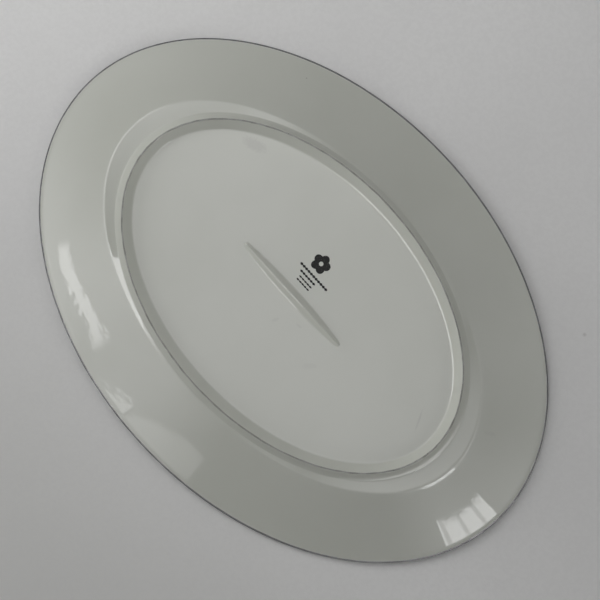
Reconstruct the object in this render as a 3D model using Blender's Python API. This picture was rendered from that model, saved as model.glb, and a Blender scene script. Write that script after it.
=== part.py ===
"""Oval china serving platter, standing on its foot ring.

Metres, +Z up. +X runs along the platter, and the origin is on the table under its middle.
The china is one fired piece. Its body, its foot ring, the bare edge that the foot stands on and
the support bar under the well are solids of their own here, and so are the metal rim band and
the printed mark, so that each can be named, coloured and changed by itself. Where two of them
meet they keep SEAT_GAP between them.
"""

import math

import bmesh
import bpy
from mathutils import Vector

# Overall size
LENGTH = 0.3556
WIDTH = 0.2486
HEIGHT = 0.0220

# Flange: it rises from the shoulder to the lip, a little bowed, and is thinnest at the lip
FLANGE_WIDTH = 0.0450
FLANGE_BOW = 0.0005
SHOULDER_HEIGHT = 0.0047
SHOULDER_SOFTNESS = 0.0016
LIP_THICKNESS = 0.0030

# Well: a flat floor that curves up into the flange
FLOOR_RECESS = 0.0042
FLOOR_THICKNESS = 0.0044
WELL_CORNER_INSET = 0.0020
WELL_SOFTNESS = 0.0100

# Foot ring: its crest is set in from the shoulder, more at the ends than at the sides
FOOT_SETBACK_END = 0.0164
FOOT_SETBACK_SIDE = 0.0055
FOOT_CREST_WIDTH = 0.0014
FOOT_INNER_RUN_END = 0.0036
FOOT_INNER_RUN_SIDE = 0.0048
FOOT_FLARE_END = 0.0056
FOOT_FLARE_SIDE = 0.0036
FOOT_OUTER_RUN = 0.0024
FOOT_OUTER_HEIGHT = 0.0031
FOOT_OUTER_SOFTNESS = 0.0008
FOOT_EDGE_HEIGHT = 0.0005

# Support bar: a spindle-shaped ridge with blunt ends, under the middle of the floor
BAR_LENGTH = 0.0790
BAR_WIDTH = 0.0078
BAR_DEPTH = 0.0022
BAR_CREST_WIDTH = 0.0012
BAR_FLANK = 0.35
BAR_END_WIDTH = 0.42
BAR_END_DEPTH = 0.40

# Metal band round the lip
BAND_THICKNESS = 0.0004

# Printed mark: a blossom over four beaded rules, read from the bar outwards (-Y is its top)
PRINT_THICKNESS = 0.0002
EMBLEM_RADIUS = 0.0058
EMBLEM_EYE_RADIUS = 0.0013
EMBLEM_PETALS = 5
EMBLEM_PETAL_DEPTH = 0.26
EMBLEM_PLACE = (-0.0015, -0.0240)
BEAD_PITCH = 0.0020
BEAD_NECK = 0.35
# each rule: middle X, middle Y, number of beads, bead height
RULES = (
    (0.0010, -0.0160, 11, 0.0017),
    (-0.0010, -0.0131, 6, 0.0015),
    (0.0000, -0.0105, 5, 0.0011),
    (0.0000, -0.0084, 5, 0.0011),
)

# Clearance where two solids meet
SEAT_GAP = 0.0003

# Fineness
SEGMENTS = 96
CORNER_STEPS = 3
FLANGE_STEPS = 4
LIP_STEPS = 3
BAR_STEPS = 20
EMBLEM_STEPS = 60

# Worked out from the sizes above. An outline is an oval's two half-lengths.
RIM = (LENGTH / 2, WIDTH / 2)
SHOULDER = (RIM[0] - FLANGE_WIDTH, RIM[1] - FLANGE_WIDTH)
FOOT = (SHOULDER[0] - FOOT_SETBACK_END, SHOULDER[1] - FOOT_SETBACK_SIDE)
HALF_CREST = FOOT_CREST_WIDTH / 2
RECESS = (
    FOOT[0] - HALF_CREST - FOOT_INNER_RUN_END,
    FOOT[1] - HALF_CREST - FOOT_INNER_RUN_SIDE,
)
FLARE = (FOOT[0] + FOOT_FLARE_END, FOOT[1] + FOOT_FLARE_SIDE)
LIP_RADIUS = LIP_THICKNESS / 2
LIP_CENTRE_HEIGHT = HEIGHT - LIP_RADIUS
FLOOR_TOP = FLOOR_RECESS + FLOOR_THICKNESS
SEAT_HEIGHT = FLOOR_RECESS - SEAT_GAP


def clear_scene():
    """Remove every object that the file starts with."""
    for obj in list(bpy.data.objects):
        bpy.data.objects.remove(obj, do_unlink=True)


def make_material(name, colour, roughness, metallic=0.0):
    """A material of one plain finish."""
    material = bpy.data.materials.new(name)
    material.use_nodes = True
    shader = material.node_tree.nodes["Principled BSDF"]
    shader.inputs["Base Color"].default_value = (*colour, 1.0)
    shader.inputs["Roughness"].default_value = roughness
    shader.inputs["Metallic"].default_value = metallic
    material.diffuse_color = (*colour, 1.0)
    return material


def add_object(name, bm, material, parent):
    """Turn a bmesh into a named object with one material, shaded smooth between its edges."""
    bmesh.ops.recalc_face_normals(bm, faces=bm.faces)
    mesh = bpy.data.meshes.new(name)
    bm.to_mesh(mesh)
    bm.free()
    mesh.shade_smooth()
    mesh.set_sharp_from_angle(angle=math.radians(35))
    mesh.materials.append(material)
    obj = bpy.data.objects.new(name, mesh)
    bpy.context.scene.collection.objects.link(obj)
    obj.parent = parent
    return obj


def station(outline, offset, height):
    """One level of an oval form: half-length, half-width and height."""
    return Vector((outline[0] + offset, outline[1] + offset, height))


def softened(corners):
    """Stations along straight runs whose corners are rounded, each from (station, reach)."""
    stations = []
    for i, (corner, reach) in enumerate(corners):
        if reach == 0:
            stations.append(corner)
            continue
        before = corner + (corners[i - 1][0] - corner).normalized() * reach
        after = corner + (corners[i + 1][0] - corner).normalized() * reach
        for step in range(CORNER_STEPS + 1):
            t = step / CORNER_STEPS
            stations.append(before * (1 - t) ** 2 + corner * 2 * t * (1 - t) + after * t**2)
    return stations


def oval_rings(bm, stations):
    """One ring of vertices for each station."""
    rings = []
    for half_length, half_width, height in stations:
        ring = []
        for i in range(SEGMENTS):
            turn = 2 * math.pi * i / SEGMENTS
            point = (half_length * math.cos(turn), half_width * math.sin(turn), height)
            ring.append(bm.verts.new(point))
        rings.append(ring)
    return rings


def join_rings(bm, first, second):
    """A band of quads between two rings of as many vertices."""
    for i in range(len(first)):
        j = (i + 1) % len(first)
        bm.faces.new((first[i], first[j], second[j], second[i]))


def oval_solid(stations):
    """A solid oval form, closed flat at its first and last station."""
    bm = bmesh.new()
    rings = oval_rings(bm, stations)
    for first, second in zip(rings, rings[1:]):
        join_rings(bm, first, second)
    bm.faces.new(rings[0])
    bm.faces.new(rings[-1])
    return bm


def oval_hoop(stations):
    """An oval hoop whose section is the closed loop of stations."""
    bm = bmesh.new()
    rings = oval_rings(bm, stations)
    for first, second in zip(rings, rings[1:] + rings[:1]):
        join_rings(bm, first, second)
    return bm


def lip_station(radius, turn, back=0.0, slope=0.0):
    """A point round the lip's centre, moved back along the flange by back."""
    offset = -LIP_RADIUS + radius * math.cos(turn) - back * math.cos(slope)
    height = LIP_CENTRE_HEIGHT + radius * math.sin(turn) - back * math.sin(slope)
    return station(RIM, offset, height)


def lip_slope(offset, height, side):
    """Slope at the lip of a bowed flange face from one of its points: side -1 under, 1 on top."""
    run = -LIP_RADIUS - offset
    rise = LIP_CENTRE_HEIGHT - height
    straight = math.atan2(rise, run) + side * math.asin(LIP_RADIUS / math.hypot(run, rise))
    return straight - 4 * FLANGE_BOW / run


UNDER_SLOPE = lip_slope(-FLANGE_WIDTH, SHOULDER_HEIGHT, -1)
TOP_SLOPE = lip_slope(-FLANGE_WIDTH - WELL_CORNER_INSET, FLOOR_TOP, 1)
UNDER_TURN = UNDER_SLOPE - math.pi / 2
TOP_TURN = TOP_SLOPE + math.pi / 2


def lip_arc(radius):
    """Stations round the lip, from the flange's underside past its edge and crown to its top."""
    quarter = math.pi / 2
    turns = [UNDER_TURN * (1 - i / LIP_STEPS) for i in range(LIP_STEPS)]
    turns += [quarter * i / LIP_STEPS for i in range(LIP_STEPS + 1)]
    turns.append(TOP_TURN)
    return [lip_station(radius, turn) for turn in turns]


def bowed(start, end):
    """The stations between two others along a face that bows upwards by FLANGE_BOW."""
    stations = []
    for step in range(1, FLANGE_STEPS):
        t = step / FLANGE_STEPS
        point = start.lerp(end, t)
        point.z += 4 * FLANGE_BOW * t * (1 - t)
        stations.append(point)
    return stations


def make_platter_body(material, parent):
    """Floor and flange in one shell, rebated at the lip for the metal band."""
    core = LIP_RADIUS - BAND_THICKNESS - SEAT_GAP
    shoulder = station(SHOULDER, 0, SHOULDER_HEIGHT)
    under_end = lip_station(LIP_RADIUS, UNDER_TURN, SEAT_GAP, UNDER_SLOPE)
    under_flange = bowed(shoulder, under_end)
    well_corner = station(SHOULDER, -WELL_CORNER_INSET, FLOOR_TOP)
    top_end = lip_station(LIP_RADIUS, TOP_TURN, SEAT_GAP, TOP_SLOPE)
    top_flange = bowed(well_corner, top_end)
    stations = softened([
        (station(FLARE, 0, FLOOR_RECESS), 0),
        (shoulder, SHOULDER_SOFTNESS),
        (under_flange[0], 0),
    ])
    stations += under_flange[1:]
    stations += [under_end, lip_station(core, UNDER_TURN, SEAT_GAP, UNDER_SLOPE)]
    stations += lip_arc(core)
    stations += [lip_station(core, TOP_TURN, SEAT_GAP, TOP_SLOPE), top_end]
    stations += top_flange[:0:-1]
    stations += softened([
        (top_flange[0], 0),
        (well_corner, WELL_SOFTNESS),
        (station(SHOULDER, -WELL_CORNER_INSET - 2 * WELL_SOFTNESS, FLOOR_TOP), 0),
    ])
    return add_object("platter_body", oval_solid(stations), material, parent)


def make_rim_band(material, parent):
    """The metal band: a thin half-round channel over the lip."""
    outside = lip_arc(LIP_RADIUS)
    inside = lip_arc(LIP_RADIUS - BAND_THICKNESS)
    return add_object("rim_band", oval_hoop(outside + inside[::-1]), material, parent)


def make_foot_ring(material, parent):
    """The oval foot, from its seat under the floor down to where its bare edge starts."""
    crest = FOOT_EDGE_HEIGHT + SEAT_GAP
    outer_corner = station(FOOT, HALF_CREST + FOOT_OUTER_RUN, FOOT_OUTER_HEIGHT)
    stations = softened([
        (station(FOOT, -HALF_CREST, crest), 0),
        (station(FOOT, HALF_CREST, crest), 0),
        (outer_corner, FOOT_OUTER_SOFTNESS),
        (station(FLARE, -SEAT_GAP, SEAT_HEIGHT), 0),
        (station(RECESS, 0, SEAT_HEIGHT), 0),
    ])
    return add_object("foot_ring", oval_hoop(stations), material, parent)


def make_foot_edge(material, parent):
    """The bare ground edge that the platter stands on."""
    stations = [
        station(FOOT, -HALF_CREST, 0),
        station(FOOT, HALF_CREST, 0),
        station(FOOT, HALF_CREST, FOOT_EDGE_HEIGHT),
        station(FOOT, -HALF_CREST, FOOT_EDGE_HEIGHT),
    ]
    return add_object("foot_edge", oval_hoop(stations), material, parent)


def make_support_bar(material, parent):
    """A ridge that narrows to blunt ends, flat against the floor, with a narrow crest below."""
    bm = bmesh.new()
    crest_half = BAR_CREST_WIDTH / 2
    sections = []
    for i in range(BAR_STEPS + 1):
        x = BAR_LENGTH * (i / BAR_STEPS - 0.5)
        swell = 1 - (2 * x / BAR_LENGTH) ** 2
        width = BAR_END_WIDTH + (1 - BAR_END_WIDTH) * swell
        depth = BAR_END_DEPTH + (1 - BAR_END_DEPTH) * math.sqrt(swell)
        half = BAR_WIDTH / 2 * width
        crest = crest_half * width
        low = SEAT_HEIGHT - (BAR_DEPTH - SEAT_GAP) * depth
        flank = low + (SEAT_HEIGHT - low) * BAR_FLANK
        middle = (half + crest) / 2
        across = [(-half, SEAT_HEIGHT), (half, SEAT_HEIGHT), (middle, flank), (crest, low)]
        across += [(-crest, low), (-middle, flank)]
        sections.append([bm.verts.new((x, y, z)) for y, z in across])
    for first, second in zip(sections, sections[1:]):
        join_rings(bm, first, second)
    bm.faces.new(sections[0])
    bm.faces.new(sections[-1])
    return add_object("support_bar", bm, material, parent)


def extrude_print(bm, face):
    """Give a flat printed shape its thickness, downwards."""
    extruded = bmesh.ops.extrude_face_region(bm, geom=[face], use_keep_orig=True)
    verts = [v for v in extruded["geom"] if isinstance(v, bmesh.types.BMVert)]
    bmesh.ops.translate(bm, verts=verts, vec=(0, 0, -PRINT_THICKNESS))


def make_emblem(material, parent):
    """A blossom with an open eye."""
    bm = bmesh.new()
    x0, y0 = EMBLEM_PLACE
    rings = []
    for height in (SEAT_HEIGHT, SEAT_HEIGHT - PRINT_THICKNESS):
        outer = []
        inner = []
        for i in range(EMBLEM_STEPS):
            turn = 2 * math.pi * i / EMBLEM_STEPS
            lobe = abs(math.cos(EMBLEM_PETALS * (turn + math.pi / 2) / 2))
            radius = EMBLEM_RADIUS * (1 - EMBLEM_PETAL_DEPTH + EMBLEM_PETAL_DEPTH * lobe)
            for ring, size in ((outer, radius), (inner, EMBLEM_EYE_RADIUS)):
                x = x0 + size * math.cos(turn)
                y = y0 + size * math.sin(turn)
                ring.append(bm.verts.new((x, y, height)))
        rings.append((outer, inner))
    (top_outer, top_inner), (low_outer, low_inner) = rings
    loop = (top_outer, top_inner, low_inner, low_outer)
    for first, second in zip(loop, loop[1:] + loop[:1]):
        join_rings(bm, first, second)
    return add_object("backstamp_emblem", bm, material, parent)


def make_rule(number, rule, material, parent):
    """One beaded rule: lozenges in a row, joined by narrow necks."""
    x0, y0, beads, height = rule
    upper = []
    start = x0 - beads * BEAD_PITCH / 2
    for bead in range(beads):
        upper.append((start + bead * BEAD_PITCH, height / 2 * BEAD_NECK))
        upper.append((start + (bead + 0.5) * BEAD_PITCH, height / 2))
    upper.append((start + beads * BEAD_PITCH, height / 2 * BEAD_NECK))
    outline = [(x, y0 + y) for x, y in upper] + [(x, y0 - y) for x, y in reversed(upper)]
    bm = bmesh.new()
    face = bm.faces.new([bm.verts.new((x, y, SEAT_HEIGHT)) for x, y in outline])
    extrude_print(bm, face)
    return add_object(f"backstamp_rule_{number}", bm, material, parent)


def main():
    clear_scene()
    china = make_material("glazed_china", (0.80, 0.81, 0.78), 0.12)
    bare = make_material("bare_foot", (0.42, 0.41, 0.37), 0.80)
    metal = make_material("platinum_band", (0.45, 0.45, 0.46), 0.25, 1.0)
    ink = make_material("mark_print", (0.02, 0.02, 0.02), 0.35)
    platter = bpy.data.objects.new("platter", None)
    bpy.context.scene.collection.objects.link(platter)
    make_platter_body(china, platter)
    make_rim_band(metal, platter)
    make_foot_ring(china, platter)
    make_foot_edge(bare, platter)
    make_support_bar(china, platter)
    make_emblem(ink, platter)
    for number, rule in enumerate(RULES, start=1):
        make_rule(number, rule, ink, platter)


main()
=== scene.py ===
"""The look of the oval china platter: glazed body, ground foot edge, support bar, rim band, mark.

The main camera looks at the underside, with the platter lying face down on a pale cloth.
Seen from above the horizon, it stands on its foot on a pale floor.
"""

import math

import bmesh
import bpy
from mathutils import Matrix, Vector


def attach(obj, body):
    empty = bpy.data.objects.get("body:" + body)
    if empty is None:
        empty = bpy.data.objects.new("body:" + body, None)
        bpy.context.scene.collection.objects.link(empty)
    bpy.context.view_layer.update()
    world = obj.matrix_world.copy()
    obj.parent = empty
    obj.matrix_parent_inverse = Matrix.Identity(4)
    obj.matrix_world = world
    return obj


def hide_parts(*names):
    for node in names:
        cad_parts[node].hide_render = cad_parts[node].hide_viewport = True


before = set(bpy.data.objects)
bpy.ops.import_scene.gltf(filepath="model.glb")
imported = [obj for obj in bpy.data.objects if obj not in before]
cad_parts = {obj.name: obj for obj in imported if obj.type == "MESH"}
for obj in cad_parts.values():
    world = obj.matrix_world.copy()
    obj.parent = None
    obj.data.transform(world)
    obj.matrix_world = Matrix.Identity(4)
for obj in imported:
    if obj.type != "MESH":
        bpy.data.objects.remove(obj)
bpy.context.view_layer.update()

# Overall sizes, in metres
RIM = (0.1778, 0.1243)
HEIGHT = 0.0220
LIP_RADIUS = 0.0015
LIP_HEIGHT = HEIGHT - LIP_RADIUS
FLANGE_WIDTH = 0.0450
FLANGE_BOW = 0.0005
SHOULDER = (RIM[0] - FLANGE_WIDTH, RIM[1] - FLANGE_WIDTH)
SHOULDER_HEIGHT = 0.0047
FOOT = (0.1164, 0.0738)
RECESS = (0.1120, 0.0684)
FOOT_SIDE = (0.1200, 0.0767)
FLARE = (0.1222, 0.0781)
BASE_HEIGHT = 0.0042
FLOOR_TOP = 0.0086
WELL_CORNER_INSET = 0.0020
# The foot's crest, from inside to outside: offset from its middle line, height
FOOT_CREST = ((-0.0008, 0.0005), (-0.0004, 0.00012), (0.0004, 0.00012), (0.0009, 0.0006))
FOOT_SIDE_HEIGHT = 0.0028
# Insets of extra rings that keep the flats flat beside their rounded edges
BASE_RINGS = (0.0060, 0.0030)
WELL_RINGS = (0.0200, 0.0260)

# How far the rounding of each of the body's corners reaches
RECESS_FILLET = 0.0011
FOOT_ROUND = 0.0004
FOOT_SIDE_BEND = 0.0012
FLARE_FILLET = 0.0007
SHOULDER_FILLET = 0.0015
WELL_FILLET = 0.0100
# Unevenness of the firing, at the rim
FIRING_WAVE = 0.00010

# How finely the forms are divided
SEGMENTS = 256
FLANGE_STEPS = 14
LIP_STEPS = 14
CORNER_STEPS = 6
FAN_LEVELS = (0.96, 0.75, 0.5, 0.25)
BAR_STEPS = (160, 32)
BLOSSOM_STEPS = 120
SHEET_CELLS = 24
PANEL_CELLS = (32, 12)

# Thin skins on the china
FILM = 0.00005
BAND_REACH = 0.0003
GROUND_HALF_WIDTH = 0.00045
GROUND_LOW = 0.00004
GROUND_HIGH = 0.00040
PRINT = 0.00003

# The support bar; its end sizes are shares of its middle's, and its crest is blunted by a dip
BAR_LENGTH = 0.0790
BAR_WIDTH = 0.0078
BAR_DEPTH = 0.0024
BAR_END_WIDTH = 0.42
BAR_END_DEPTH = 0.40
BAR_SKIRT = 0.23
BAR_BLUNT = 0.05
BAR_TIP = 0.004
BAR_ROOT = 0.0006
CREST_WIDTH = 0.10
CREST_DIP = 0.05

BLOSSOM_RADIUS = 0.0058
BLOSSOM_EYE = 0.0013
BLOSSOM_PETALS = 5
PETAL_DEPTH = 0.26
BLOSSOM_PLACE = (-0.0015, -0.0240)
BEAD_PITCH = 0.0020
BEAD_NECK = 0.35
# middle X, middle Y, number of beads, bead height
RULES = (
    (0.0010, -0.0160, 11, 0.0017),
    (-0.0010, -0.0131, 6, 0.0015),
    (0.0000, -0.0105, 5, 0.0011),
    (0.0000, -0.0084, 5, 0.0011),
)

scene = bpy.context.scene
collection = scene.collection


# ---------------------------------------------------------------- node helpers


def add(tree, kind, values=None, **props):
    """A node with its properties and its unlinked sockets' values set."""
    item = tree.nodes.new(kind)
    for key, value in props.items():
        setattr(item, key, value)
    for key, value in (values or {}).items():
        item.inputs[key].default_value = value
    return item


def join(tree, source, target):
    tree.links.new(source, target)


def maths(tree, operation, first, second=None):
    """A Math node; each operand is a socket to link or a plain number."""
    item = add(tree, "ShaderNodeMath", operation=operation)
    for index, operand in enumerate((first, second)):
        if operand is None:
            continue
        if isinstance(operand, (int, float)):
            item.inputs[index].default_value = operand
        else:
            join(tree, operand, item.inputs[index])
    return item.outputs[0]


def ramp_between(tree, value, low, high, bottom=0.0, top=1.0):
    """Smoothly map a value from low..high to bottom..top."""
    item = add(tree, "ShaderNodeMapRange", interpolation_type="SMOOTHSTEP")
    for name, operand in (
        ("Value", value),
        ("From Min", low),
        ("From Max", high),
        ("To Min", bottom),
        ("To Max", top),
    ):
        if isinstance(operand, (int, float)):
            item.inputs[name].default_value = operand
        else:
            join(tree, operand, item.inputs[name])
    return item.outputs["Result"]


def blend(tree, factor, first, second):
    """Mix two colours by a mask; each colour is a socket to link or a plain colour."""
    item = add(tree, "ShaderNodeMix", data_type="RGBA")
    join(tree, factor, item.inputs[0])
    for socket, operand in ((item.inputs[6], first), (item.inputs[7], second)):
        if isinstance(operand, tuple):
            socket.default_value = (*operand, 1.0)
        else:
            join(tree, operand, socket)
    return item.outputs[2]


def faint(tree, mask, strength):
    return maths(tree, "MULTIPLY", mask, strength)


def new_group(name, inputs, outputs):
    """A node group; inputs and outputs are (name, kind, default)."""
    tree = bpy.data.node_groups.new(name, "ShaderNodeTree")
    for label, kind, default in inputs:
        socket = tree.interface.new_socket(label, in_out="INPUT", socket_type=kind)
        if default is not None:
            socket.default_value = default
    for label, kind in outputs:
        tree.interface.new_socket(label, in_out="OUTPUT", socket_type=kind)
    return tree, add(tree, "NodeGroupInput"), add(tree, "NodeGroupOutput")


def use_group(tree, group, values):
    item = add(tree, "ShaderNodeGroup", node_tree=group)
    for key, value in values.items():
        item.inputs[key].default_value = value
    return item


# ---------------------------------------------------------------- shared effects


def make_patches():
    """Soft uneven patches, 0 to 1."""
    tree, enter, leave = new_group(
        "soft patches",
        [
            ("Scale", "NodeSocketFloat", 20.0),
            ("Low", "NodeSocketFloat", 0.4),
            ("High", "NodeSocketFloat", 0.6),
        ],
        [("Mask", "NodeSocketFloat")],
    )
    place = add(tree, "ShaderNodeTexCoord")
    noise = add(tree, "ShaderNodeTexNoise", values={"Detail": 3.0, "Roughness": 0.55})
    join(tree, place.outputs["Object"], noise.inputs["Vector"])
    join(tree, enter.outputs["Scale"], noise.inputs["Scale"])
    mask = ramp_between(tree, noise.outputs["Fac"], enter.outputs["Low"], enter.outputs["High"])
    join(tree, mask, leave.inputs["Mask"])
    return tree


def make_specks():
    """Sparse tiny round specks, 0 to 1."""
    tree, enter, leave = new_group(
        "tiny specks",
        [
            ("Scale", "NodeSocketFloat", 60.0),
            ("Radius", "NodeSocketFloat", 0.03),
            ("Share", "NodeSocketFloat", 0.1),
        ],
        [("Mask", "NodeSocketFloat")],
    )
    place = add(tree, "ShaderNodeTexCoord")
    cells = add(tree, "ShaderNodeTexVoronoi", values={"Randomness": 1.0})
    join(tree, place.outputs["Object"], cells.inputs["Vector"])
    join(tree, enter.outputs["Scale"], cells.inputs["Scale"])
    split = add(tree, "ShaderNodeSeparateColor")
    join(tree, cells.outputs["Color"], split.inputs[0])
    chosen = maths(tree, "LESS_THAN", split.outputs[0], enter.outputs["Share"])
    reach = maths(tree, "MULTIPLY", enter.outputs["Radius"], split.outputs[1])
    inside = ramp_between(tree, cells.outputs["Distance"], 0.0, reach, 1.0, 0.0)
    join(tree, maths(tree, "MULTIPLY", chosen, inside), leave.inputs["Mask"])
    return tree


def make_spot():
    """One soft-edged oval spot, broken up a little, 0 to 1."""
    tree, enter, leave = new_group(
        "rubbed spot",
        [
            ("Place", "NodeSocketVector", (0.0, 0.0, 0.0)),
            ("Size", "NodeSocketVector", (0.01, 0.01, 0.01)),
            ("Turn", "NodeSocketFloat", 0.0),
            ("Grain", "NodeSocketFloat", 400.0),
        ],
        [("Mask", "NodeSocketFloat")],
    )
    place = add(tree, "ShaderNodeTexCoord")
    offset = add(tree, "ShaderNodeVectorMath", operation="SUBTRACT")
    join(tree, place.outputs["Object"], offset.inputs[0])
    join(tree, enter.outputs["Place"], offset.inputs[1])
    turned = add(tree, "ShaderNodeVectorRotate", rotation_type="Z_AXIS")
    join(tree, offset.outputs[0], turned.inputs["Vector"])
    join(tree, enter.outputs["Turn"], turned.inputs["Angle"])
    scaled = add(tree, "ShaderNodeVectorMath", operation="DIVIDE")
    join(tree, turned.outputs[0], scaled.inputs[0])
    join(tree, enter.outputs["Size"], scaled.inputs[1])
    length = add(tree, "ShaderNodeVectorMath", operation="LENGTH")
    join(tree, scaled.outputs[0], length.inputs[0])
    noise = add(tree, "ShaderNodeTexNoise", values={"Detail": 4.0, "Roughness": 0.6})
    join(tree, place.outputs["Object"], noise.inputs["Vector"])
    join(tree, enter.outputs["Grain"], noise.inputs["Scale"])
    uneven = maths(tree, "SUBTRACT", noise.outputs["Fac"], 0.5)
    ragged = maths(tree, "ADD", length.outputs["Value"], uneven)
    join(tree, ramp_between(tree, ragged, 0.35, 1.0, 1.0, 0.0), leave.inputs["Mask"])
    return tree


def make_ripple():
    """The slight unevenness of a fired surface, as a normal."""
    tree, enter, leave = new_group(
        "fired ripple",
        [
            ("Broad Scale", "NodeSocketFloat", 28.0),
            ("Broad Height", "NodeSocketFloat", 0.3),
            ("Fine Scale", "NodeSocketFloat", 260.0),
            ("Fine Height", "NodeSocketFloat", 0.05),
        ],
        [("Normal", "NodeSocketVector")],
    )
    place = add(tree, "ShaderNodeTexCoord")
    normal = None
    for label in ("Broad", "Fine"):
        noise = add(tree, "ShaderNodeTexNoise", values={"Detail": 1.5, "Roughness": 0.4})
        join(tree, place.outputs["Object"], noise.inputs["Vector"])
        join(tree, enter.outputs[f"{label} Scale"], noise.inputs["Scale"])
        bump = add(tree, "ShaderNodeBump", values={"Distance": 0.001})
        join(tree, noise.outputs["Fac"], bump.inputs["Height"])
        join(tree, enter.outputs[f"{label} Height"], bump.inputs["Strength"])
        if normal is not None:
            join(tree, normal, bump.inputs["Normal"])
        normal = bump.outputs["Normal"]
    join(tree, normal, leave.inputs["Normal"])
    return tree


PATCHES = make_patches()
SPECKS = make_specks()
SPOT = make_spot()
RIPPLE = make_ripple()


# ---------------------------------------------------------------- materials


def new_material(name):
    material = bpy.data.materials.new(name)
    material.use_nodes = True
    tree = material.node_tree
    return material, tree, tree.nodes["Principled BSDF"]


def patches(tree, scale, low, high):
    values = {"Scale": scale, "Low": low, "High": high}
    return use_group(tree, PATCHES, values).outputs["Mask"]


def specks(tree, scale, radius, share):
    values = {"Scale": scale, "Radius": radius, "Share": share}
    return use_group(tree, SPECKS, values).outputs["Mask"]


def spot(tree, place, size, turn):
    """A rubbed spot; place and half-sizes are in metres and turn in degrees."""
    values = {
        "Place": (*place, BASE_HEIGHT),
        "Size": (*size, SPOT_REACH_UP),
        "Turn": math.radians(turn),
        "Grain": SPOT_GRAIN,
    }
    return use_group(tree, SPOT, values).outputs["Mask"]


def ripple(tree, broad, broad_height, fine, fine_height):
    values = {
        "Broad Scale": broad,
        "Broad Height": broad_height,
        "Fine Scale": fine,
        "Fine Height": fine_height,
    }
    return use_group(tree, RIPPLE, values).outputs["Normal"]


def glaze_ripple(tree):
    """The waviness of the glaze, shared by the printed mark."""
    return ripple(tree, broad=26.0, broad_height=0.035, fine=210.0, fine_height=0.008)


CHINA_WHITE = (0.655, 0.667, 0.612)
CHINA_SHADE = (0.620, 0.633, 0.575)
SCUFF_GREY = (0.50, 0.50, 0.47)
SPECK_BROWN = (0.16, 0.13, 0.10)
GROUND_CLAY = (0.34, 0.34, 0.32)
GROUND_GRIME = (0.22, 0.22, 0.20)
GRIT = (0.12, 0.11, 0.10)
METAL = (0.17, 0.17, 0.175)
METAL_DULL = (0.12, 0.12, 0.122)
PRINT_BLACK = (0.012, 0.012, 0.012)
PRINT_WORN = (0.16, 0.16, 0.15)
CLOTH_WHITE = (0.915, 0.912, 0.905)
CLOTH_CREAM = (0.880, 0.877, 0.870)
CLOTH_GREY = (0.82, 0.815, 0.81)
# Painted shade: the grey that the cloth turns towards +Y, standing in for light falling off across it
CLOTH_PAINTED_SHADE = (0.70, 0.70, 0.68)
CLOTH_CRUMB = (0.30, 0.28, 0.26)
FLOOR_PALE = (0.80, 0.795, 0.785)
FLOOR_SHADE = (0.77, 0.765, 0.755)

SPOT_REACH_UP = 0.02
SPOT_GRAIN = 700.0
# Where painted shade makes the cloth greyer, along Y, and where the floor fades, outwards from the
# middle
CLOTH_PAINTED_SHADE_SPAN = (0.04, 0.24)
FLOOR_FADE = (0.7, 2.0)

# Scuffs under the glaze: place, half-sizes, turn, strength
SCUFFS = (
    ((-0.0775, -0.0422), (0.0100, 0.0045), 20, 0.40),
    ((0.0043, 0.0167), (0.0030, 0.0012), 70, 0.25),
    ((0.0160, 0.0090), (0.0026, 0.0010), 10, 0.25),
    ((0.0368, 0.0196), (0.0060, 0.0020), 50, 0.16),
    ((0.1003, -0.0052), (0.0080, 0.0008), 118, 0.40),
    ((0.1344, -0.0302), (0.0050, 0.0016), 30, 0.20),
    ((0.1013, -0.0312), (0.0060, 0.0025), 80, 0.15),
)


def glaze_colour(tree):
    """White china with a faint shade, scuffs and pinholes."""
    shade = patches(tree, scale=9.0, low=0.35, high=0.70)
    colour = blend(tree, shade, CHINA_WHITE, CHINA_SHADE)
    for place, size, turn, strength in SCUFFS:
        colour = blend(tree, faint(tree, spot(tree, place, size, turn), strength), colour, SCUFF_GREY)
    pinholes = faint(tree, specks(tree, scale=55.0, radius=0.045, share=0.10), 0.65)
    return blend(tree, pinholes, colour, SPECK_BROWN)


def make_china():
    material, tree, shader = new_material("glazed china")
    shader.inputs["IOR"].default_value = 1.52
    join(tree, glaze_colour(tree), shader.inputs["Base Color"])
    wear = patches(tree, scale=24.0, low=0.52, high=0.72)
    fine_wear = patches(tree, scale=160.0, low=0.45, high=0.70)
    dulled = maths(tree, "MULTIPLY", wear, fine_wear)
    roughness = ramp_between(tree, dulled, 0.0, 1.0, bottom=0.012, top=0.05)
    join(tree, roughness, shader.inputs["Roughness"])
    join(tree, glaze_ripple(tree), shader.inputs["Normal"])
    return material


def make_bare_foot():
    material, tree, shader = new_material("bare ground foot")
    shader.inputs["Roughness"].default_value = 0.75
    grime = patches(tree, scale=140.0, low=0.35, high=0.65)
    colour = blend(tree, grime, GROUND_CLAY, GROUND_GRIME)
    colour = blend(tree, specks(tree, scale=700.0, radius=0.5, share=0.25), colour, GRIT)
    join(tree, colour, shader.inputs["Base Color"])
    tooth = ripple(tree, broad=300.0, broad_height=0.2, fine=1800.0, fine_height=0.3)
    join(tree, tooth, shader.inputs["Normal"])
    return material


def make_platinum():
    material, tree, shader = new_material("fired platinum band")
    shader.inputs["Metallic"].default_value = 0.6
    dull = patches(tree, scale=120.0, low=0.42, high=0.62)
    join(tree, blend(tree, dull, METAL, METAL_DULL), shader.inputs["Base Color"])
    roughness = ramp_between(tree, dull, 0.0, 1.0, bottom=0.30, top=0.48)
    join(tree, roughness, shader.inputs["Roughness"])
    brushed_on = ripple(tree, broad=150.0, broad_height=0.1, fine=900.0, fine_height=0.1)
    join(tree, brushed_on, shader.inputs["Normal"])
    return material


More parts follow.
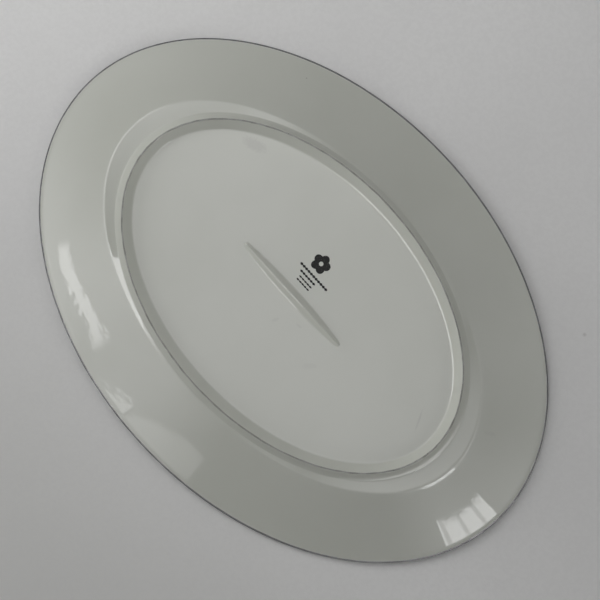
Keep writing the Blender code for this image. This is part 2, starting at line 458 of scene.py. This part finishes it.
def make_mark_print():
    material, tree, shader = new_material("black fired print")
    print_wear_and_painted_cloth_shade = faint(tree, patches(tree, scale=1500.0, low=0.55, high=0.75), 0.5)
    join(tree, blend(tree, print_wear_and_painted_cloth_shade, PRINT_BLACK, PRINT_WORN), shader.inputs["Base Color"])
    shader.inputs["Roughness"].default_value = 0.45
    shader.inputs["Specular IOR Level"].default_value = 0.10
    join(tree, glaze_ripple(tree), shader.inputs["Normal"])
    return material


def show_one_side(material, tree, shader, fade=None):
    """Make a sheet's back face clear, and fade its front between two distances from the middle."""
    geometry = add(tree, "ShaderNodeNewGeometry")
    clear = add(tree, "ShaderNodeBsdfTransparent")
    mix = add(tree, "ShaderNodeMixShader")
    hidden = geometry.outputs["Backfacing"]
    if fade:
        place = add(tree, "ShaderNodeTexCoord")
        length = add(tree, "ShaderNodeVectorMath", operation="LENGTH")
        join(tree, place.outputs["Object"], length.inputs[0])
        gone = ramp_between(tree, length.outputs["Value"], *fade)
        hidden = maths(tree, "MAXIMUM", hidden, gone)
    join(tree, hidden, mix.inputs[0])
    join(tree, shader.outputs[0], mix.inputs[1])
    join(tree, clear.outputs[0], mix.inputs[2])
    join(tree, mix.outputs[0], tree.nodes["Material Output"].inputs["Surface"])
    material.use_backface_culling = True


def make_cloth():
    material, tree, shader = new_material("pale cloth")
    shader.inputs["Roughness"].default_value = 0.9
    shader.inputs["Specular IOR Level"].default_value = 0.15
    broad = patches(tree, scale=6.0, low=0.30, high=0.70)
    fine = faint(tree, patches(tree, scale=420.0, low=0.40, high=0.60), 0.25)
    colour = blend(tree, fine, blend(tree, broad, CLOTH_WHITE, CLOTH_CREAM), CLOTH_GREY)
    place = add(tree, "ShaderNodeTexCoord")
    split = add(tree, "ShaderNodeSeparateXYZ")
    join(tree, place.outputs["Object"], split.inputs[0])
    # Painted shade: the cloth's colour darkens towards +Y in place of the light falling off across it
    print_wear_and_painted_cloth_shade = faint(tree, ramp_between(tree, split.outputs["Y"], *CLOTH_PAINTED_SHADE_SPAN), 0.75)
    colour = blend(tree, print_wear_and_painted_cloth_shade, colour, CLOTH_PAINTED_SHADE)
    crumbs = faint(tree, specks(tree, scale=30.0, radius=0.10, share=0.06), 0.6)
    colour = blend(tree, crumbs, colour, CLOTH_CRUMB)
    join(tree, colour, shader.inputs["Base Color"])
    folds = ripple(tree, broad=14.0, broad_height=1.6, fine=900.0, fine_height=0.10)
    join(tree, folds, shader.inputs["Normal"])
    show_one_side(material, tree, shader)
    return material


def make_floor():
    material, tree, shader = new_material("pale floor")
    shader.inputs["Roughness"].default_value = 0.85
    shader.inputs["Specular IOR Level"].default_value = 0.2
    shade = patches(tree, scale=3.0, low=0.30, high=0.70)
    join(tree, blend(tree, shade, FLOOR_PALE, FLOOR_SHADE), shader.inputs["Base Color"])
    show_one_side(material, tree, shader, FLOOR_FADE)
    return material


# ---------------------------------------------------------------- forms


def warp(point):
    """Lift a point by the slight unevenness of the firing, which grows towards the rim."""
    x, y, z = point
    out = min(1.0, (x / RIM[0]) ** 2 + (y / RIM[1]) ** 2)
    wave = math.sin(x / 0.031 + 0.7) * math.cos(y / 0.037 - 0.4)
    wave += 0.6 * math.sin((x + y) / 0.021 + 1.9)
    return (x, y, z + FIRING_WAVE * wave * out * out)


def new_object(name, bm, material):
    mesh = bpy.data.meshes.new(name)
    bm.to_mesh(mesh)
    bm.free()
    mesh.materials.append(material)
    item = bpy.data.objects.new(name, mesh)
    collection.objects.link(item)
    return item


def add_piece(name, bm, material, smooth=True):
    """A piece of the platter, with its faces turned outwards."""
    bmesh.ops.recalc_face_normals(bm, faces=bm.faces)
    piece = new_object(name, bm, material)
    if smooth:
        piece.data.shade_smooth()
    return piece


def station(outline, offset, height):
    """A point of the body's section: an oval's two half-axes with an offset, and its height."""
    return Vector((outline[0] + offset, outline[1] + offset, height))


def rounded(corners):
    """Stations along runs whose corners are rounded, each from (station, reach)."""
    stations = []
    for i, (corner, reach) in enumerate(corners):
        if reach == 0:
            stations.append(corner)
            continue
        before = corner + (corners[i - 1][0] - corner).normalized() * reach
        after = corner + (corners[i + 1][0] - corner).normalized() * reach
        for step in range(CORNER_STEPS + 1):
            t = step / CORNER_STEPS
            stations.append(before * (1 - t) ** 2 + corner * 2 * t * (1 - t) + after * t**2)
    return stations


def bridge(bm, first, second):
    """Faces between two closed loops with the same number of vertices."""
    count = len(first)
    for i in range(count):
        j = (i + 1) % count
        bm.faces.new((first[i], first[j], second[j], second[i]))


def sweep_rings(bm, stations, closed):
    """Oval rings through the stations, joined into bands."""
    rings = []
    for a, b, z in stations:
        ring = []
        for i in range(SEGMENTS):
            turn = 2 * math.pi * i / SEGMENTS
            ring.append(bm.verts.new(warp((a * math.cos(turn), b * math.sin(turn), z))))
        rings.append(ring)
    following = rings[1:] + (rings[:1] if closed else [])
    for first, second in zip(rings, following):
        bridge(bm, first, second)
    return rings


def fan_to_centre(bm, ring, height):
    """Close a ring with finer rings and a middle point, so that the flat stays smooth."""
    outer = ring
    for level in FAN_LEVELS:
        inner = [bm.verts.new((v.co.x * level, v.co.y * level, height)) for v in ring]
        bridge(bm, outer, inner)
        outer = inner
    middle = bm.verts.new((0.0, 0.0, height))
    count = len(outer)
    for i in range(count):
        bm.faces.new((outer[i], outer[(i + 1) % count], middle))


def flange_slope(offset, height, side):
    """Slope at which a bowed face of the flange meets the lip; side is -1 underneath and 1 on top."""
    run = -LIP_RADIUS - offset
    rise = LIP_HEIGHT - height
    straight = math.atan2(rise, run) + side * math.asin(LIP_RADIUS / math.hypot(run, rise))
    return straight - 4 * FLANGE_BOW / run


UNDER_TURN = flange_slope(-FLANGE_WIDTH, SHOULDER_HEIGHT, -1) - math.pi / 2
TOP_TURN = flange_slope(-FLANGE_WIDTH - WELL_CORNER_INSET, FLOOR_TOP, 1) + math.pi / 2


def lip_arc(radius):
    """Stations round the lip, from the underside of the flange to its top."""
    stations = []
    for i in range(LIP_STEPS + 1):
        turn = UNDER_TURN + (TOP_TURN - UNDER_TURN) * i / LIP_STEPS
        offset = -LIP_RADIUS + radius * math.cos(turn)
        stations.append(station(RIM, offset, LIP_HEIGHT + radius * math.sin(turn)))
    return stations


def bowed(start, end):
    """Stations between two others, along the flange's slight bow."""
    stations = []
    for i in range(1, FLANGE_STEPS):
        t = i / FLANGE_STEPS
        point = start.lerp(end, t)
        point.z += 4 * FLANGE_BOW * t * (1 - t)
        stations.append(point)
    return stations


def make_china_body(material):
    """The whole glazed body, from the middle of its base over foot, flange and lip to its well."""
    shoulder = station(SHOULDER, 0, SHOULDER_HEIGHT)
    well_corner = station(SHOULDER, -WELL_CORNER_INSET, FLOOR_TOP)
    lip = lip_arc(LIP_RADIUS - FILM)
    under = bowed(shoulder, lip[0])
    over = bowed(well_corner, lip[-1])
    foot_inside, crest_inside, crest_outside, foot_outside = [station(FOOT, *at) for at in FOOT_CREST]
    stations = rounded([
        (station(RECESS, -BASE_RINGS[0], BASE_HEIGHT), 0),
        (station(RECESS, -BASE_RINGS[1], BASE_HEIGHT), 0),
        (station(RECESS, 0, BASE_HEIGHT), RECESS_FILLET),
        (foot_inside, FOOT_ROUND),
        (crest_inside, 0),
        (crest_outside, 0),
        (foot_outside, FOOT_ROUND),
        (station(FOOT_SIDE, 0, FOOT_SIDE_HEIGHT), FOOT_SIDE_BEND),
        (station(FLARE, 0, BASE_HEIGHT), FLARE_FILLET),
        (shoulder, SHOULDER_FILLET),
        (under[0], 0),
    ])
    stations += under[1:]
    stations += lip
    stations += over[::-1]
    stations += rounded([
        (over[0], 0),
        (well_corner, WELL_FILLET),
        (station(SHOULDER, -WELL_RINGS[0], FLOOR_TOP), 0),
        (station(SHOULDER, -WELL_RINGS[1], FLOOR_TOP), 0),
    ])[1:]
    bm = bmesh.new()
    rings = sweep_rings(bm, stations, closed=False)
    fan_to_centre(bm, rings[0], BASE_HEIGHT)
    fan_to_centre(bm, rings[-1], FLOOR_TOP)
    return add_piece("china_body", bm, material)


def make_rim_band(material):
    """The metal film that wraps the lip and reaches a little way under the flange."""
    bm = bmesh.new()
    outside = lip_arc(LIP_RADIUS)
    inside = lip_arc(LIP_RADIUS - 3 * FILM)
    along = UNDER_TURN + math.pi / 2
    reach = Vector((-math.cos(along), -math.cos(along), -math.sin(along))) * BAND_REACH
    loop = [outside[0] + reach] + outside + inside[::-1] + [inside[0] + reach]
    sweep_rings(bm, loop, closed=True)
    return add_piece("platinum_rim_band", bm, material)


def make_foot_edge(material):
    """The bare ground line along the foot's crest, a little uneven in width."""
    bm = bmesh.new()
    count = 2 * SEGMENTS
    rings = []
    for side, height in ((-1, GROUND_LOW), (1, GROUND_LOW), (1, GROUND_HIGH), (-1, GROUND_HIGH)):
        ring = []
        for i in range(count):
            turn = 2 * math.pi * i / count
            uneven = 0.00004 * math.sin(23 * turn + side) + 0.00003 * math.sin(61 * turn + 2 * side)
            offset = side * (GROUND_HALF_WIDTH + uneven)
            point = ((FOOT[0] + offset) * math.cos(turn), (FOOT[1] + offset) * math.sin(turn), height)
            ring.append(bm.verts.new(warp(point)))
        rings.append(ring)
    for first, second in zip(rings, rings[1:] + rings[:1]):
        bridge(bm, first, second)
    return add_piece("bare_foot_edge", bm, material, smooth=False)


def bar_profile(v):
    """Depth across the bar, 1 on its crest and 0 at its edges: straight flanks, soft at both ends."""
    across = 1 - abs(v)
    rise = across - BAR_SKIRT / 2 if across > BAR_SKIRT else across**2 / (2 * BAR_SKIRT)
    dip = CREST_DIP * math.exp(-((v / CREST_WIDTH) ** 2))
    return (rise - dip) / (1 - BAR_SKIRT / 2 - CREST_DIP)


def make_support_bar(material):
    """A ridge that narrows to blunt, rounded ends."""
    bm = bmesh.new()
    along, across = BAR_STEPS
    grid = []
    for i in range(along + 1):
        u = math.sin(math.pi / 2 * (-1 + 2 * i / along))
        swell = max(0.0, 1 - u * u)
        blunt = min(1.0, (1 - abs(u)) / BAR_BLUNT)
        tip = math.sqrt(max(0.0, 1 - (1 - blunt) ** 2))
        half = BAR_WIDTH / 2 * (BAR_END_WIDTH + (1 - BAR_END_WIDTH) * swell) * max(tip, BAR_TIP)
        deep = BAR_DEPTH * (BAR_END_DEPTH + (1 - BAR_END_DEPTH) * math.sqrt(swell)) * tip
        row = []
        for j in range(across + 1):
            v = -1 + 2 * j / across
            row.append(bm.verts.new((BAR_LENGTH / 2 * u, half * v, BASE_HEIGHT - deep * bar_profile(v))))
        grid.append(row)
    for i in range(along):
        for j in range(across):
            bm.faces.new((grid[i][j], grid[i][j + 1], grid[i + 1][j + 1], grid[i + 1][j]))
    edge = [grid[i][0] for i in range(along + 1)]
    edge += [grid[along][j] for j in range(1, across + 1)]
    edge += [grid[i][across] for i in range(along - 1, -1, -1)]
    edge += [grid[0][j] for j in range(across - 1, 0, -1)]
    roof = [bm.verts.new((v.co.x, v.co.y, BASE_HEIGHT + BAR_ROOT)) for v in edge]
    bridge(bm, edge, roof)
    bm.faces.new(roof)
    return add_piece("support_bar", bm, material)


def add_print(name, outline, material, hole=None):
    """A flat printed shape of its true small thickness, its print side down."""
    bm = bmesh.new()
    loops = [outline, hole] if hole else [outline]
    levels = []
    for z in (BASE_HEIGHT - PRINT, BASE_HEIGHT + PRINT):
        levels.append([[bm.verts.new((x, y, z)) for x, y in loop] for loop in loops])
    for low, high in zip(*levels):
        bridge(bm, low, high)
    for level in levels:
        if hole:
            bridge(bm, *level)
        else:
            bm.faces.new(level[0])
    return add_piece(name, bm, material, smooth=False)


def make_blossom(material):
    """A plain five-petalled blossom with a round eye."""
    x0, y0 = BLOSSOM_PLACE
    outline = []
    hole = []
    for i in range(BLOSSOM_STEPS):
        turn = 2 * math.pi * i / BLOSSOM_STEPS
        petal = abs(math.cos(BLOSSOM_PETALS * turn / 2 + math.pi / 4))
        radius = BLOSSOM_RADIUS * (1 - PETAL_DEPTH + PETAL_DEPTH * petal)
        outline.append((x0 + radius * math.cos(turn), y0 + radius * math.sin(turn)))
        hole.append((x0 + BLOSSOM_EYE * math.cos(turn), y0 + BLOSSOM_EYE * math.sin(turn)))
    return add_print("printed_blossom", outline, material, hole)


def make_rule(number, middle_x, middle_y, beads, height, material):
    """A row of lozenge beads joined by narrow necks."""
    upper = []
    lower = []
    start = middle_x - beads * BEAD_PITCH / 2
    for i in range(2 * beads + 1):
        half = height / 2 * (1.0 if i % 2 else BEAD_NECK)
        x = start + i * BEAD_PITCH / 2
        upper.append((x, middle_y + half))
        lower.append((x, middle_y - half))
    return add_print(f"printed_rule_{number}", upper + lower[::-1], material)


# ---------------------------------------------------------------- pieces

china = make_china()
bare = make_bare_foot()
platinum = make_platinum()
black = make_mark_print()

body = make_china_body(china)
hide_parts("platter_body", "foot_ring")

bar = make_support_bar(china)
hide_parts("support_bar")

foot_edge = make_foot_edge(bare)
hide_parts("foot_edge")

rim_band = make_rim_band(platinum)
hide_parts("rim_band")

blossom = make_blossom(black)
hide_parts("backstamp_emblem")
prints = [blossom]
for number, rule in enumerate(RULES, 1):
    piece = make_rule(number, *rule, black)
    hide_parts(f"backstamp_rule_{number}")
    prints.append(piece)

for piece in (body, bar, foot_edge, rim_band, *prints):
    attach(piece, "root")


# ---------------------------------------------------------------- stage


def show_only_to(item, ray):
    """Let only one kind of ray meet an object, either camera or glossy rays."""
    for kind in ("camera", "diffuse", "glossy", "transmission", "shadow"):
        setattr(item, f"visible_{kind}", kind == ray)


def grid_corners(grid, i, j):
    return (grid[i][j], grid[i + 1][j], grid[i + 1][j + 1], grid[i][j + 1])


def add_sheet(name, half, height, facing, material):
    """A flat sheet that only the camera sees, on the side that it faces."""
    bm = bmesh.new()
    places = [half * (2 * i / SHEET_CELLS - 1) for i in range(SHEET_CELLS + 1)]
    grid = [[bm.verts.new((x, y, height)) for y in places] for x in places]
    for i in range(SHEET_CELLS):
        for j in range(SHEET_CELLS):
            corners = grid_corners(grid, i, j)
            bm.faces.new(corners if facing > 0 else corners[::-1])
    sheet = new_object(name, bm, material)
    show_only_to(sheet, "camera")


CLOTH_HALF = 1.5
CLOTH_GAP = 0.0002
FLOOR_HALF = 4.0
add_sheet("cloth_under_rim", CLOTH_HALF, HEIGHT + CLOTH_GAP, -1, make_cloth())
add_sheet("studio_floor", FLOOR_HALF, 0.0, 1, make_floor())


def round_platter(turn, tilt, up):
    """Direction from the platter: turn is round Z, tilt is away from straight above or below."""
    t, p = math.radians(turn), math.radians(tilt)
    return Vector((math.cos(t) * math.sin(p), math.sin(t) * math.sin(p), up * math.cos(p)))


def add_light(name, turn, tilt, distance, width, height, watts, up=-1):
    """A soft box that no glaze mirrors."""
    light = bpy.data.lights.new(name, "AREA")
    light.shape = "RECTANGLE"
    light.size = width
    light.size_y = height
    light.energy = watts
    lamp = bpy.data.objects.new(name, light)
    direction = round_platter(turn, tilt, up)
    lamp.location = direction * distance
    lamp.rotation_euler = direction.to_track_quat("Z", "Y").to_euler()
    lamp.visible_glossy = False
    lamp.visible_camera = False
    collection.objects.link(lamp)


FOLD_SHADE = 0.50


def make_glow(name, level, edge, folds, whole_turn):
    """Emission that fades towards a panel's edges, with optional folds across it.

    A panel that goes the whole way round fades at its outer edge only.
    """
    material = bpy.data.materials.new(name)
    material.use_nodes = True
    tree = material.node_tree
    tree.nodes.remove(tree.nodes["Principled BSDF"])
    place = add(tree, "ShaderNodeTexCoord")
    split = add(tree, "ShaderNodeSeparateXYZ")
    join(tree, place.outputs["UV"], split.inputs[0])
    if whole_turn:
        glow = ramp_between(tree, split.outputs["Y"], 1.0 - edge, 1.0, bottom=1.0, top=0.0)
    else:
        fades = []
        for axis in ("X", "Y"):
            reach = maths(tree, "ABSOLUTE", maths(tree, "SUBTRACT", split.outputs[axis], 0.5))
            fades.append(ramp_between(tree, reach, 0.5 - edge, 0.5, bottom=1.0, top=0.0))
        glow = maths(tree, "MULTIPLY", fades[0], fades[1])
    if folds:
        wave = maths(tree, "SINE", maths(tree, "MULTIPLY", split.outputs["X"], 2 * math.pi * folds))
        shade = ramp_between(tree, wave, -1.0, -0.5, bottom=FOLD_SHADE)
        glow = maths(tree, "MULTIPLY", glow, shade)
    emission = add(tree, "ShaderNodeEmission")
    join(tree, maths(tree, "MULTIPLY", glow, level), emission.inputs["Strength"])
    both = add(tree, "ShaderNodeAddShader")
    join(tree, emission.outputs[0], both.inputs[0])
    join(tree, add(tree, "ShaderNodeBsdfTransparent").outputs[0], both.inputs[1])
    join(tree, both.outputs[0], tree.nodes["Material Output"].inputs["Surface"])
    return material


def add_panel(name, turns, tilts, slope, distance, level, edge, folds):
    """A glowing panel round the platter that only the glaze mirrors.

    It spans turns[0] to turns[1] and tilts[0] to tilts[1], in degrees, where tilt is away from
    straight below and passes 90 above the horizon; slope adds tilt for each degree of turn.
    """
    columns, rows = PANEL_CELLS
    bm = bmesh.new()
    layer = bm.loops.layers.uv.new("UVMap")
    grid = []
    for i in range(columns + 1):
        u = i / columns
        turn = turns[0] + (turns[1] - turns[0]) * u
        lean = slope * (turns[1] - turns[0]) * (u - 0.5)
        column = []
        for j in range(rows + 1):
            v = j / rows
            tilt = tilts[0] + (tilts[1] - tilts[0]) * v + lean
            column.append((bm.verts.new(round_platter(turn, tilt, -1) * distance), (u, v)))
        grid.append(column)
    for i in range(columns):
        for j in range(rows):
            corners = grid_corners(grid, i, j)
            face = bm.faces.new([vert for vert, _ in corners])
            for loop, (_, uv) in zip(face.loops, corners):
                loop[layer].uv = uv
    whole_turn = turns[1] - turns[0] == 360
    panel = new_object(name, bm, make_glow(name, level, edge, folds, whole_turn))
    show_only_to(panel, "glossy")


# name, turn, tilt, distance, width, height, watts
LIGHTS_BELOW = (
    ("low_left_light", 60, 75, 1.7, 0.9, 0.7, 6.2),
    ("window_light", 150, 75, 1.7, 0.9, 0.7, 10.4),
    ("low_right_light", 330, 75, 1.7, 0.9, 0.7, 8.2),
    ("near_window_light", 180, 50, 0.8, 0.5, 0.5, 1.44),
    ("near_top_light", 225, 50, 0.8, 0.5, 0.5, 1.05),
)
LIGHTS_ABOVE = (
    ("studio_key", 120, 40, 1.8, 1.4, 1.4, 17.0),
    ("studio_fill", -60, 50, 2.0, 1.4, 1.4, 10.0),
    ("studio_top", 0, 5, 1.8, 2.0, 2.0, 12.0),
)
# name, turns, tilts, slope, distance, level, edge softness, folds
PANELS = (
    ("ceiling_glow", (0, 360), (0.1, 36), 0, 2.00, 2.4, 0.3, 0),
    ("ceiling_edge_glow", (0, 360), (36, 52), 0, 1.95, 0.6, 0.3, 0),
    ("upper_ceiling_glow", (150, 270), (22, 46), 0, 1.95, 1.6, 0.35, 0),
    ("right_wall_glow", (-32, 32), (42, 66), 0, 1.90, 2.1, 0.4, 0),
    ("low_left_wall_glow", (76, 140), (42, 66), 0, 1.85, 1.7, 0.4, 0),
    ("left_wall_glow", (112, 176), (42, 66), 0, 1.80, 2.6, 0.4, 0),
    ("upper_left_wall_glow", (148, 212), (42, 66), 0, 1.75, 3.2, 0.4, 0),
    ("top_wall_glow", (256, 320), (42, 66), 0, 1.75, 0.5, 0.4, 0),
    ("upper_right_wall_glow", (292, 356), (42, 66), 0, 1.70, 1.1, 0.4, 0),
    ("low_room_glow", (-35, 65), (66, 92), 0, 1.95, 2.4, 0.35, 0),
    ("window", (90, 138), (27, 50), 0, 1.60, 6.0, 0.03, 0),
    ("window_sill", (79, 98), (49, 53.8), 0, 1.55, 1.1, 0.04, 0),
    ("bright_sill", (98, 113), (50, 54.4), 0.05, 1.55, 2.2, 0.04, 0),
    ("window_strip", (111.5, 138), (57.3, 57.8), 0.168, 1.50, 3.4, 0.14, 0),
    ("curtain", (-3, 15), (44, 61.2), -0.05, 1.50, 4.6, 0.02, 3),
    ("studio_ceiling_glow", (0, 360), (179.9, 135), 0, 2.00, 0.9, 0.5, 0),
    ("studio_window_glow", (70, 150), (105, 145), 0, 1.90, 1.6, 0.25, 0),
    ("studio_wall_glow", (240, 330), (105, 140), 0, 1.90, 0.8, 0.35, 0),
)
ROOM_COLOUR = (1.0, 1.0, 0.985, 1.0)
ROOM_LEVEL = 0.02
BACKDROP_LEVEL = 0.62

for settings in LIGHTS_BELOW:
    add_light(*settings)
for settings in LIGHTS_ABOVE:
    add_light(*settings, up=1)
for settings in PANELS:
    add_panel(*settings)

world = bpy.data.worlds.new("soft room light")
scene.world = world
world.use_nodes = True
background = world.node_tree.nodes["Background"]
background.inputs["Color"].default_value = ROOM_COLOUR
paths = add(world.node_tree, "ShaderNodeLightPath")
is_backdrop = paths.outputs["Is Camera Ray"]
strength = ramp_between(world.node_tree, is_backdrop, 0.0, 1.0, ROOM_LEVEL, BACKDROP_LEVEL)
join(world.node_tree, strength, background.inputs["Strength"])

# Main camera: below the platter, looking up at its base
CAMERA_PLACE = Vector((0.01607, 0.00877, -0.33504))
CAMERA_AIM = Vector((0.00501, -0.00179, 0.0205))
CAMERA_UP = Vector((-0.73802, -0.67341, -0.04296))
LENS = 36.0
SENSOR = 36.0

camera_data = bpy.data.cameras.new("main_camera")
camera_data.lens = LENS
camera_data.sensor_width = SENSOR
camera_data.clip_start = 0.01
camera_data.clip_end = 50.0
camera = bpy.data.objects.new("main_camera", camera_data)
collection.objects.link(camera)
look = (CAMERA_AIM - CAMERA_PLACE).normalized()
right = look.cross(CAMERA_UP).normalized()
top = right.cross(look)
matrix = camera.matrix_world.copy()
for row in range(3):
    matrix[row][0] = right[row]
    matrix[row][1] = top[row]
    matrix[row][2] = -look[row]
    matrix[row][3] = CAMERA_PLACE[row]
camera.matrix_world = matrix
scene.camera = camera
scene.view_settings.view_transform = "Standard"
